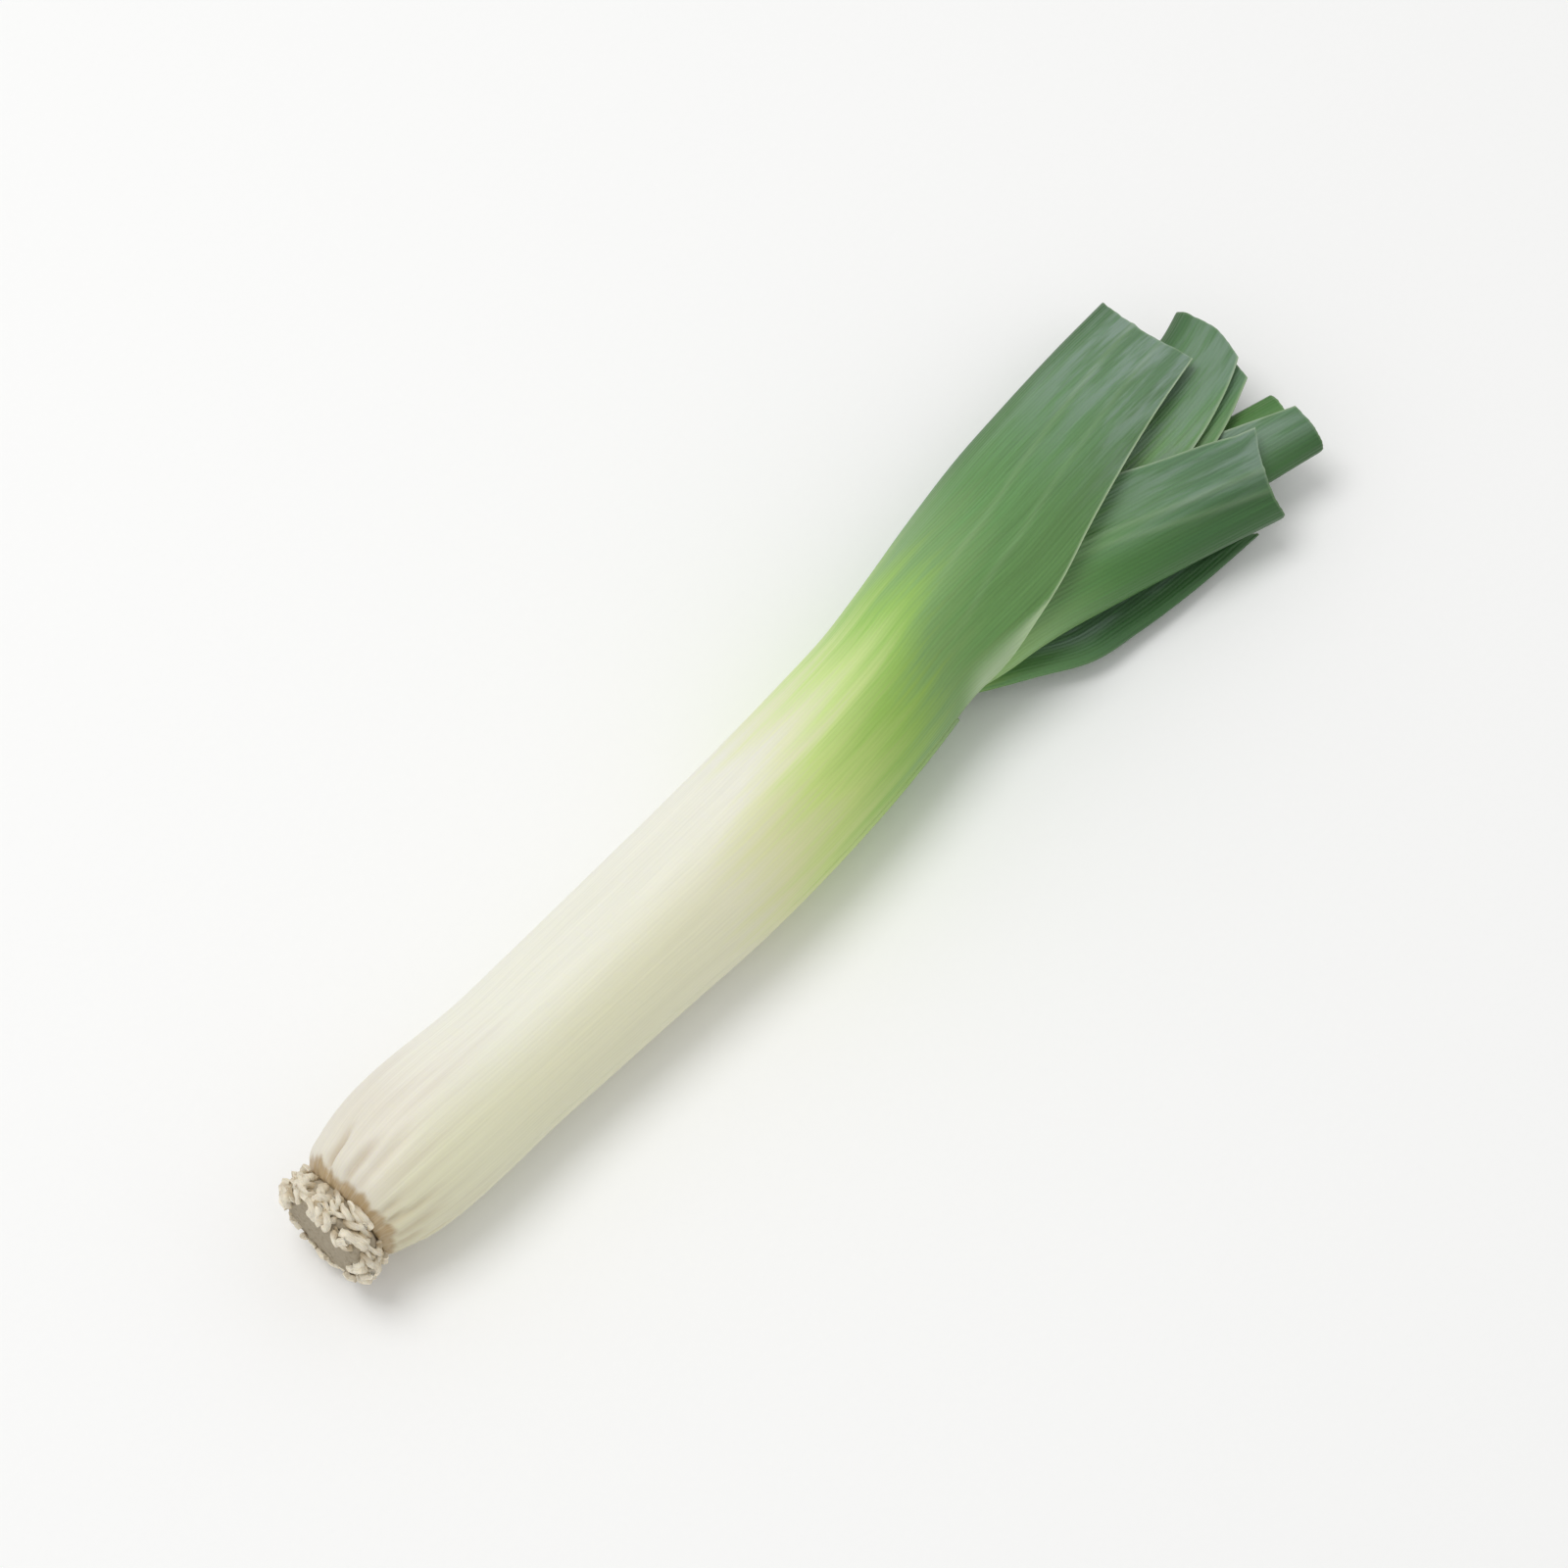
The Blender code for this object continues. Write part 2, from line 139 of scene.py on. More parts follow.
BLADES = [
    Leaf(
        "right_outer_leaf", -1, 207,
        keel=[(205, -9, 22), (215, -11.6, 22), (222, -13.4, 22), (230, -15, 22), (240, -16, 21.5),
              (251, -17.6, 20.5), (263, -20.2, 19.5), (276, -23, 18), (296, -28, 17), (322, -35, 16)],
        up=[(205, 33, -4, 12), (215, 38, -4, 12), (240, 44, -4, 10.5), (270, 39.5, 0, 9), (300, 32, 12, 7),
            (320, 28.5, 20, 6), (333, 24.5, 22, 6)],
        down=[(205, 34, 0, 8.6), (215, 36, 0, 8.4), (240, 38, 0, 7.3), (270, 32, 4, 7), (290, 26, 10, 6),
              (320, 25, 18, 6)],
        cut=[(-1, 318), (0, 320.5), (0.2, 319.5), (0.5, 321.5), (1, 328.5)],
        tones=[(205, "ivory"), (228, "bright"), (285, "leafy"), (312, "green"), (345, "dark")],
        bloom=0.5, bloomed=(250, 320), lag=-40, bare=15,
        pleats=((262, 0.52, 322, 0.56, 0.5), (262, 0.48, 322, 0.33, 0.4)),
    ),
    Leaf(
        "left_inner_leaf", 1, 208.5,
        keel=[(205, 20, 22), (240, 24, 21.5), (270, 24.5, 19), (300, 23, 18.5), (325, 25, 18.5),
              (340, 27.6, 19), (349, 30.5, 19)],
        up=[(205, 22, -6, 10), (225, 26.5, -6, 9.6), (240, 31, -6, 9), (270, 36, -3, 7.2), (300, 35, 3, 6),
            (320, 32.5, 7, 5), (348, 26.5, 9, 4)],
        down=[(205, 19, 0, 6.7), (225, 24, 0, 6.2), (240, 29.5, 0, 5.6), (270, 33, 2, 5.3), (300, 30, 5, 5),
              (348, 25, 9, 4)],
        cut=[(-1, 343), (0, 347), (0.3, 347.5), (0.7, 347.5), (1, 344)],
        tones=[(205, "yellow"), (255, "bright"), (290, "leafy"), (318, "green"), (352, "dark")],
        bloom=0.42,
    ),
    Leaf(
        "left_heart_leaf", 1, 210,
        keel=[(205, 17, 22), (240, 20.5, 21.5), (270, 21.5, 19), (300, 20.3, 18.3), (325, 22.2, 18.3),
              (346, 27, 18.5)],
        up=[(205, 19, -6, 8.3), (225, 24, -6, 8), (240, 29, -6, 7.5), (270, 35, -3, 5.8),
            (300, 35, 2.5, 4.7), (320, 33, 6, 3.9), (346, 28.5, 8, 2.8)],
        down=[(205, 19, 0, 5.7), (225, 24, 0, 5.2), (240, 28, 0, 4.2), (270, 31, 2, 4), (300, 27, 4, 3.8),
              (346, 22, 8, 2.8)],
        cut=[(-1, 341), (0, 345), (0.5, 345.5), (1, 342)],
        tones=[(205, "yellow"), (275, "bright"), (318, "green"), (352, "dark")],
        bloom=0.2,
    ),
    Leaf(
        "right_inner_leaf", -1, 211.5,
        keel=[(205, -5, 22), (222, -8.6, 22), (240, -11.8, 21.5), (262, -15, 20), (296, -20, 18.5),
              (326, -25.5, 18), (343, -28.8, 18)],
        up=[(205, 15, -8, 6.6), (240, 27, -8, 5.7), (270, 28, -4, 4), (300, 26, -1, 3.5),
            (315, 22.5, 2, 3.4), (328, 19, 14, 3.6), (344, 15.5, 22, 4)],
        down=[(205, 15, 0, 4.2), (240, 26, 0, 2.9), (270, 26, 0, 2.6), (300, 22, 2, 2.7),
              (344, 15.5, 18, 4)],
        cut=[(-1, 341), (0, 343), (0.5, 343.5), (1, 343.5)],
        tones=[(205, "yellow"), (255, "bright"), (300, "green"), (345, "dark")],
        bloom=0.45,
    ),
    Leaf(
        "heart_leaf", 1, 213,
        keel=[(205, 8, 22), (240, 7, 21.3), (270, 5, 19.2), (300, 1, 18.5), (330, -3.5, 19.3),
              (345, -7.5, 20)],
        up=[(205, 9, -8, 4.8), (240, 14, -8, 3.4), (270, 16, -5, 2), (300, 15, -2, 1.6),
            (330, 13.5, 6, 1.9), (345, 11, 8, 2)],
        down=[(205, 9, 0, 2.4), (240, 14, 0, 1.6), (270, 16, 0, 1.5), (300, 15, 0, 1.5), (345, 11, 8, 2)],
        cut=[(-1, 342), (0, 344.5), (1, 342)],
        tones=[(205, "yellow"), (290, "bright"), (325, "leafy"), (345, "green")],
        bloom=0.15,
    ),
    Leaf(
        "lower_right_leaf", -1, 214,
        keel=[(210, -1, 8.6), (218, -5, 8.6), (225, -9.5, 8.6), (240, -18, 8.8), (252, -24.5, 8.4),
              (270, -27.4, 6.6), (290, -29.3, 6), (316, -30.3, 6)],
        up=[(210, 8, 0, 1.4), (240, 14, -1, 1.4), (270, 14, 0, 1.5), (300, 8, 2, 1.4), (316, 3, 4, 1.4)],
        down=[(210, 8, 0, 1.4), (240, 11, 0, 1.4), (270, 12, 4, 1.4), (316, 6, 6, 1.4)],
        cut=[(-1, 310), (0, 316), (1, 312)],
        tones=[(210, "bright"), (235, "green"), (265, "dark"), (316, "dark")],
        bloom=0.85, bloomed=(225, 260),
    ),
]

# The frame gives where the tables lie: the shank's foot, and the outer leaf's keel at its cut end.
OUTER_LOW, OUTER_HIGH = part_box(OUTER.node)
ORIGIN = Vector((OUTER_LOW.x - FOOT * MM, OUTER_HIGH.y - OUTER.keel[-1][1] * MM, 0))


def colour(code):
    """A colour of six sRGB hex digits, as linear red, green and blue."""
    parts = [int(code[i:i + 2], 16) / 255 for i in (0, 2, 4)]
    return tuple(c / 12.92 if c <= 0.04045 else ((c + 0.055) / 1.055) ** 2.4 for c in parts)


def colour_property(name, code, description):
    return bpy.props.FloatVectorProperty(
        name=name, description=description, subtype="COLOR", size=3, min=0, max=1, default=colour(code))


def length_property(name, millimetres, description):
    return bpy.props.FloatProperty(
        name=name, description=description, unit="LENGTH", precision=5, min=0, default=millimetres * MM)


def power_property(name, watts):
    return bpy.props.FloatProperty(name=name, description="Power in watts", min=0, default=watts)


class LeekLeafSettings(bpy.types.PropertyGroup):
    """Sizes and colours of the leaves."""

    face_size: length_property("Face size", 1.5, "Length of the faces that a leaf's mesh is made of")
    sheath_thickness: length_property("Sheath thickness", 1.4, "Wall of the outer leaf")
    blade_thickness: length_property("Blade thickness", 0.9, "Wall of every other leaf")
    margin_thickness: length_property("Margin thickness", 0.35, "Wall of a leaf at its margin")
    margin_taper: length_property("Margin taper", 5, "Width of the strip that thins towards the margin")
    vein_spacing: length_property("Vein spacing", 1.1, "Distance between the fine veins")
    vein_height: length_property("Vein height", 0.05, "How far the fine veins stand out")
    cream: colour_property("Foot of the shank", "e8e4d6", "Sheath beside the roots")
    white: colour_property("Shank", "ecebdc", "Blanched sheath along the shank")
    ivory: colour_property("Upper shank", "e3e6bf", "Sheath where the green starts")
    yellow: colour_property("Throat", "cbe092", "Yellow-green skin at the throat")
    bright: colour_property("Young green", "9ac262", "Bright green skin above the throat")
    leafy: colour_property("Pale leaf green", "7da466", "Skin where the blade begins")
    green: colour_property("Leaf green", "659156", "Skin of the blade")
    dark: colour_property("Dark green", "50774e", "Skin near the leaf tips")
    bloom: colour_property("Bloom", "8c9f95", "Thin wax that greys the skin")
    # Painted shade: the skin far from the keel, on the sides of the sheath, is multiplied by this colour.
    flank: colour_property("Painted flank shade", "f2f1dd", "What the sides of the sheath are multiplied by")
    # Painted shade: the strip along each keel is multiplied by this colour.
    keel: colour_property("Painted keel shade", "b9cfae", "What the skin along the keel is multiplied by")
    # The rim colour paints a thin pale strip along the margins and dries the cut ends; below the outer leaf's
    # throat the strip widens into a painted sheen, and on the pleats' tops it is a painted highlight.
    rim: colour_property("Rim", "cfdfbc", "Thin pale strip along the margins")
    tan: colour_property("Dry sheath", "b8a17c", "Dried skin at the shank's foot")


class LeekRootSettings(bpy.types.PropertyGroup):
    """Sizes and colours of the root plate and its roots."""

    plate_radius: length_property("Plate radius", 14.4, "Radius of the cut root plate")
    plate_depth: length_property("Plate depth", 8.2, "From the shank's foot to the cut face")
    root_radius: length_property("Root radius", 1.4, "Radius of a root stub")
    root_reach: length_property("Root reach", 2.4, "How far a stub stands out from the plate")
    root_count: bpy.props.IntProperty(
        name="Roots", description="Number of root stubs round the plate", default=120, min=3)
    fibre: colour_property("Root", "f6ecd6", "Dried skin of the stubs")
    shade: colour_property("Root shade", "b09a74", "Soil-brown skin between the stubs")
    face: colour_property("Cut face", "b5a992", "Greyed flesh of the cut plate")
    core: colour_property("Core", "6f5f47", "Darker rings and root traces in the cut plate")


class LeekStageSettings(bpy.types.PropertyGroup):
    """The floor, the light and the camera."""

    floor: colour_property("Floor", "fbfbfa", "Matt paper under the leek")
    floor_size: length_property("Floor size", 9000, "Side of the square of paper")
    key_power: power_property("Key light", 15)
    fill_power: power_property("Fill light", 0.8)
    sky_strength: bpy.props.FloatProperty(
        name="Sky", description="Strength of the even light from all round", default=0.64, min=0)
    azimuth: bpy.props.FloatProperty(
        name="Azimuth", description="Heading of the camera, from +Y towards -X", subtype="ANGLE",
        default=radians(-46.02))
    elevation: bpy.props.FloatProperty(
        name="Elevation", description="Camera's height above the horizon", subtype="ANGLE",
        default=radians(62))
    distance: length_property("Distance", 1200, "From the camera to what it looks at")
    lens: bpy.props.FloatProperty(
        name="Lens", description="Focal length in millimetres, on a 36 mm sensor", default=103.95)
    aim: bpy.props.FloatVectorProperty(
        name="Aim", description="What the camera looks at, from the middle of the leek", subtype="XYZ",
        unit="LENGTH", precision=5, default=(-0.0045, -0.0018, -0.0022))


def placed(points):
    """Points of the tables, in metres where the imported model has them."""
    return np.asarray(points, float) * MM + np.array(ORIGIN)


def smoothstep(low, high, x):
    """0 at low and 1 at high, and level at both. low may be the greater."""
    t = np.clip((x - low) / (high - low), 0, 1)
    return t * t * (3 - 2 * t)


def smooth(table, column, x):
    """Values of one column of a table at the places x, on a smooth curve through its rows."""
    places = np.array([row[0] for row in table], float)
    values = np.array([row[column] for row in table], float)
    slopes = np.gradient(values, places)
    x = np.clip(x, places[0], places[-1])
    i = np.clip(np.searchsorted(places, x, side="right") - 1, 0, len(places) - 2)
    gap = places[i + 1] - places[i]
    t = (x - places[i]) / gap
    start = (1 + 2 * t) * (1 - t) ** 2 * values[i] + t * (1 - t) ** 2 * gap * slopes[i]
    return start + t * t * (3 - 2 * t) * values[i + 1] + t * t * (t - 1) * gap * slopes[i + 1]


def half_value(leaf, column, x, across):
    """A column of the tables of both halves, read on the half that each place lies in."""
    return np.where(across >= 0, smooth(leaf.up, column, x), smooth(leaf.down, column, x))


def leaf_points(leaf, x, across, depth):
    """Points of a leaf's skin, depth inside its smooth outer face. x is along the leek and across runs
    from -1 at the lower margin, through 0 at the keel, to 1 at the upper margin."""
    width, slope, radius = (half_value(leaf, column, x, across) for column in (1, 2, 3))
    opened = smoothstep(*leaf.tube, x)[:, None] if leaf.tube else np.ones((len(x), 1))
    tube_radius = smooth(SHANK_RADII, 1, x)

    def heading(part):
        """Turn of the skin at part of the way from keel to margin. It leaves the keel straight up. Round a
        tube it turns evenly, and in a folded blade it turns near the keel and then runs on at its slope."""
        fold = (pi / 2 - np.radians(slope)[:, None]) * (1 - np.exp(-part * (width / radius)[:, None]))
        return (1 - opened) * part * (width / tube_radius)[:, None] + opened * fold

    turn = heading((np.arange(FOLD_STEPS) + 0.5)[None, :] / FOLD_STEPS)
    here = heading(np.abs(across)[:, None])[:, 0]
    step = (width / FOLD_STEPS)[:, None]
    none = np.zeros((len(x), 1))
    inward = np.concatenate([none, np.cumsum(np.sin(turn) * step, 1)], 1)
    rise = np.concatenate([none, np.cumsum(np.cos(turn) * step, 1)], 1)
    place = np.abs(across) * FOLD_STEPS
    i = np.clip(place.astype(int), 0, FOLD_STEPS - 1)
    row = np.arange(len(x))
    share = place - i
    inward = inward[row, i] * (1 - share) + inward[row, i + 1] * share + depth * np.cos(here)
    rise = rise[row, i] * (1 - share) + rise[row, i + 1] * share - depth * np.sin(here)
    y = smooth(leaf.keel, 1, x) - leaf.side * inward
    z = smooth(leaf.keel, 2, x) + np.where(across >= 0, rise, -rise)
    return np.stack([x, y, z], -1)


def columns(half):
    """Places across a leaf, closer together at the keel."""
    half_way = (np.arange(half + 1) / half) ** KEEL_CROWDING
    return np.concatenate([-half_way[:0:-1], half_way])


def sloping_rows(leaf, rows, across, straight_to):
    """x of every point of a leaf's grid. Rows up to straight_to are square to the leek, and those beyond
    it lean over more and more, until the last lies along the leaf's cut end."""
    x = np.repeat(np.array(rows, float)[:, None], len(across), 1)
    ragged = 0.1 * np.sin(7 * across + x[0, 0]) + 0.05 * np.sin(31 * across) + 0.04 * np.sin(67 * across + 1)
    ends = (smooth(leaf.cut, 1, across) + ragged)[None, :]
    beyond = np.clip((x - straight_to) / (rows[-1] - straight_to), 0, None)
    return np.where(x > straight_to, straight_to + (ends - straight_to) * beyond, x)


def pleat_height(leaf, x, across, width):
    """Height of the leaf's raised pleats at each point."""
    height = np.zeros(len(x))
    for x0, place0, x1, place1, top in leaf.pleats:
        line = place0 + (place1 - place0) * (x - x0) / (x1 - x0)
        away = (across - line) * width
        height += top * np.exp(-(away / 0.9) ** 2) * smoothstep(x0 - 14, x0 + 14, x)
    return height


def furrows(x, across, seed):
    """Shallow lengthwise furrows, from about -1 to 1. They meet round a closed sheath."""
    wander = 0.5 * np.sin(x / 37 + seed) + 0.3 * np.sin(x / 17 + 2 * seed)
    angle = pi * across
    wide = 0.45 * np.sin(5 * angle + seed + wander) + 0.35 * np.sin(11 * angle + 3 * seed - wander)
    return wide + 0.2 * np.sin(23 * angle + 5 * seed + 2 * wander)


def foot_relief(x, across):
    """(depth, tan) at the foot of the shank: the sheath ends in a ragged edge above the dry collar, and
    puckers run up from it. The puckers take the tan most where they are deepest, partly as dried skin and
    partly as painted shade in their grooves."""
    angle = pi * across
    edge = 0.9 + 0.6 * np.sin(3 * angle + 0.5) + 0.45 * np.sin(7 * angle + 2) + 0.35 * np.sin(17 * angle)
    edge = edge + 0.25 * np.sin(37 * angle + 1)
    collar = 1 - smoothstep(edge - 0.8, edge + 0.9, x)
    depth = 0.5 * collar + 0.18 * collar * np.sin(29 * angle + 2 * x) + 0.25 * smoothstep(9, 0, x)
    tan = collar
    random = np.random.default_rng(11)
    for _ in range(26):
        centre, length, deep, wide = random.uniform((-pi, 8, 0.5, 0.8), (pi, PUCKERS_END, 1.3, 1.9))
        around = (angle - centre + pi) % (2 * pi) - pi
        reach = smoothstep(length, 0.4 * length, x) * smoothstep(-2, 3, x)
        pucker = deep * np.exp(-(around * 18 / wide) ** 2) * reach
        depth = depth + pucker
        # The puckers take the tan most where they are deepest: partly dried skin, partly painted shade in
        # their grooves.
        tan = np.maximum(tan, 0.45 * pucker)
    return depth, tan


def grid_faces(ids):
    """Faces between neighbouring rows and columns of a grid of point numbers."""
    quads = np.stack([ids[:-1, :-1], ids[:-1, 1:], ids[1:, 1:], ids[1:, :-1]], -1)
    return quads.reshape(-1, 4).tolist()


def strip_faces(left, right):
    """Faces between two lines of point numbers of equal length."""
    return grid_faces(np.stack([left, right]))


def add_mesh(name, points, groups, attributes):
    """An object from points, groups of (faces, material) and point attributes, closed faces turned out."""
    faces = [face for group, _ in groups for face in group]
    used, renumbered = np.unique(np.concatenate([np.ravel(face) for face in faces]), return_inverse=True)
    sizes = [len(face) for face in faces]
    corners = np.split(renumbered, np.cumsum(sizes)[:-1])
    mesh = bpy.data.meshes.new(name)
    mesh.from_pydata(points[used].tolist(), [], [part.tolist() for part in corners])
    for key, values in attributes.items():
        layer = mesh.attributes.new(key, "FLOAT_VECTOR", "POINT")
        layer.data.foreach_set("vector", values[used].astype(np.float32).ravel())
    materials = list(dict.fromkeys(material for _, material in groups))
    for material in materials:
        mesh.materials.append(material)
    numbers = [materials.index(material) for group, material in groups for _ in group]
    mesh.polygons.foreach_set("material_index", numbers)
    bm = bmesh.new()
    bm.from_mesh(mesh)
    bmesh.ops.recalc_face_normals(bm, faces=bm.faces)
    bm.to_mesh(mesh)
    bm.free()
    mesh.shade_smooth()
    mesh.set_sharp_from_angle(angle=radians(50))
    made = bpy.data.objects.new(name, mesh)
    bpy.context.scene.collection.objects.link(made)
    return made


def leaf_skins(leaf, x, across, settings, foot):
    """(outer points, inner points, attributes of both) of a leaf, for the places x and across."""
    width = half_value(leaf, 1, x, across)
    arc = across * width
    margin = (1 - np.abs(across)) * width
    blade = smoothstep(THROAT, THROAT + 40, x)
    seed = len(leaf.node) * 0.7
    thickness = (settings.sheath_thickness if leaf.tube else settings.blade_thickness) / MM
    thin = settings.margin_thickness / MM
    taper = 1 - smoothstep(0, settings.margin_taper / MM, margin)
    open_part = smoothstep(THROAT, THROAT + 14, x) if leaf.tube else 1
    # The outer leaf hugs the leaf inside it at the throat, so there it thins from outside.
    hug = (1 - smoothstep(THROAT + 20, THROAT + 60, x)) if leaf.tube else 0
    dip = (thickness - thin) * taper * open_part * (0.3 + 0.7 * hug)
    rise = (thickness - thin) * taper * open_part * (0.7 - 0.7 * hug)
    pleats = pleat_height(leaf, x, across, width)
    waves = furrows(x, across, seed) * (0.06 + 0.12 * blade) * smoothstep(0, 3, margin + 3 * (1 - blade))
    depth = dip - waves - pleats
    tan = np.zeros(len(x))
    if foot:
        pits, tan = foot_relief(x, across)
        depth = depth + pits
    outer = leaf_points(leaf, x, across, depth)
    inner = leaf_points(leaf, x, across, np.maximum(thickness - rise - 0.5 * waves, depth + thin * 0.8))
    # The outer leaf's pale strip is 12 mm wide below the throat, a painted sheen along the sheath's side, and
    # narrows on the blade to a thin pale margin.
    rim_and_sheen_width = 12 - 11.4 * smoothstep(THROAT + 8, THROAT + 42, x) if leaf.tube else 0.4
    rim = (1 - smoothstep(0.2 * rim_and_sheen_width, rim_and_sheen_width, margin)) * open_part
    # flank marks the skin far from the keel: there the keel's lag in turning green fades out, and the shader
    # darkens the skin as painted shade.
    flank = smoothstep(28, 48, np.abs(arc))
    growth = x - leaf.lag * (1 - flank)
    bloom = smoothstep(leaf.bare - 7, leaf.bare + 6, np.abs(arc)) * smoothstep(*leaf.bloomed, x)
    # keel marks the strip along the keel, which the shader darkens as painted shade.
    keel = smoothstep(leaf.bare + 4, leaf.bare - 5, np.abs(arc)) * smoothstep(THROAT + 25, THROAT + 70, x)
    cut = smooth(leaf.cut, 1, across) - x
    # Round the closed sheath the angle makes one turn, so a pattern laid on it meets itself at the seam.
    angle = arc / smooth(SHANK_RADII, 1, x)
    attributes = {}
    for key, values in (
        ("leaf_place", (x, RING * np.cos(angle), RING * np.sin(angle))),
        ("leaf_tone", (growth, rim, bloom)),
        ("leaf_marks", (tan, pleats, cut)),
        ("leaf_side", (angle, flank, np.zeros(len(x)))),
        ("leaf_keel", (keel, keel, keel)),
    ):
        values = np.stack(values, -1)
        attributes[key] = np.concatenate([values, values])
    attributes["leaf_side"][len(x):, 2] = 1
    return placed(outer), placed(inner), attributes


def finish_piece(piece, node):
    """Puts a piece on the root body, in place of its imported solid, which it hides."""
    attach(piece, "root")
    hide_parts(node)


def leaf_object(leaf, rows, half, closed_to, inner_from, foot, settings):
    """The mesh of a leaf. Rows up to number closed_to are a closed tube, and the inner face starts at row
    number inner_from."""
    across = columns(half)
    x = sloping_rows(leaf, rows, across, THROAT if leaf.tube else leaf.start)
    places = np.repeat(across[None, :], len(rows), 0)
    outer, inner, attributes = leaf_skins(leaf, x.ravel(), places.ravel(), settings, foot)
    outside = np.arange(x.size).reshape(x.shape)
    inside = outside + x.size
    for ids in (outside, inside):
        ids[:closed_to + 1, -1] = ids[:closed_to + 1, 0]
    inside = inside[inner_from:]
    skin = grid_faces(outside) + grid_faces(inside)
    if closed_to >= 0:
        skin += [outside[0][:-1].tolist(), inside[0][:-1].tolist()]
    else:
        skin += strip_faces(outside[0], inside[0])
    first = max(closed_to, 0)
    for side in (0, -1):
        skin += strip_faces(outside[first:, side], inside[first - inner_from:, side])
    edge = strip_faces(outside[-1], inside[-1])
    groups = [(skin, leaf_skin(leaf, settings)), (edge, cut_leaf(settings))]
    piece = add_mesh("leek_" + leaf.node, np.concatenate([outer, inner]), groups, attributes)
    finish_piece(piece, leaf.node)
    return piece


def add_node(tree, kind, settings=None, inputs=None):
    """A node of that kind, with its settings made, and its inputs set to values or linked to sockets."""
    made = tree.nodes.new(kind)
    for name, value in (settings or {}).items():
        setattr(made, name, value)
    for name, value in (inputs or {}).items():
        if isinstance(value, bpy.types.NodeSocket):
            tree.links.new(value, made.inputs[name])
        else:
            made.inputs[name].default_value = value
    return made


def new_material(name):
    """(material, a function that adds nodes to its cleared tree)."""
    material = bpy.data.materials.new(name)
    material.use_nodes = True
    tree = material.node_tree
    tree.nodes.clear()
    return material, partial(add_node, tree)


def finish_material(node, inputs):
    """Ends a material with a Principled shader that has these inputs."""
    shader = node("ShaderNodeBsdfPrincipled", inputs=inputs)
    node("ShaderNodeOutputMaterial", inputs={"Surface": shader.outputs[0]})


